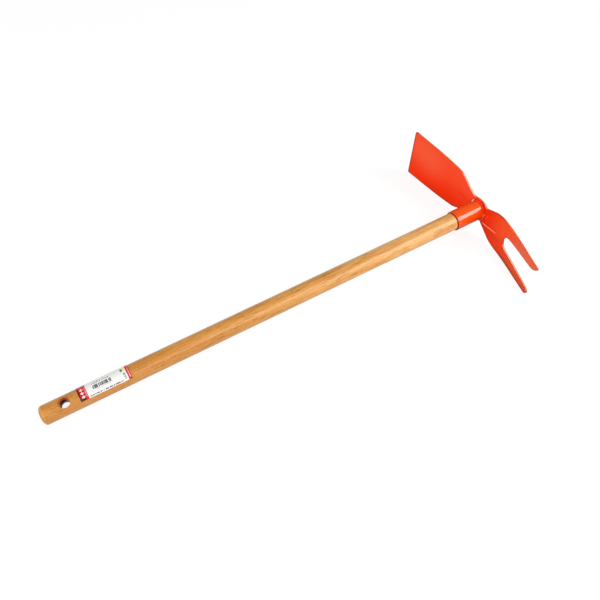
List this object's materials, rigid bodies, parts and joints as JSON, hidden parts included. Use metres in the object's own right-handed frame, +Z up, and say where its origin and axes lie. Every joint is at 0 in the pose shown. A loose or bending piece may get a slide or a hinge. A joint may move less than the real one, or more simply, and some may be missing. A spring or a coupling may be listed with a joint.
{
  "type": "combination hoe",
  "caption": "Hand garden tool: a flat hoe blade and a two-pronged fork pressed from one steel plate, welded to a socket tube on a turned wooden handle.",
  "frame": {"origin": "middle of the tool's box, on the plane that the tool lies on", "axes": "+X along the handle towards the head, +Y towards the blade side (the fork points to -Y), +Z up, with the tool lying on its side on a blade corner, a prong and the rim of the butt"},
  "size_m": [0.6194, 0.2682, 0.0786],
  "materials": {
    "handle_wood": "sanded smooth and thinly varnished, satin, pale brown with fine darker flecks along the grain",
    "tube_paint": "glossy orange enamel on drawn steel tube",
    "plate_paint": "glossy orange-red enamel on pressed steel sheet",
    "weld_paint": "orange-red enamel over rippled weld metal",
    "label_paper": "coated white label paper, printed, semi-gloss",
    "nail_steel": "dull zinc-plated steel"
  },
  "bodies": {
    "root": {"handle": "handle_wood", "socket_tube": "tube_paint", "head_plate": "plate_paint", "weld_bead_blade_side": "weld_paint", "weld_bead_fork_side": "weld_paint", "label": "label_paper", "socket_nail": "nail_steel"}
  },
  "joints": []
}
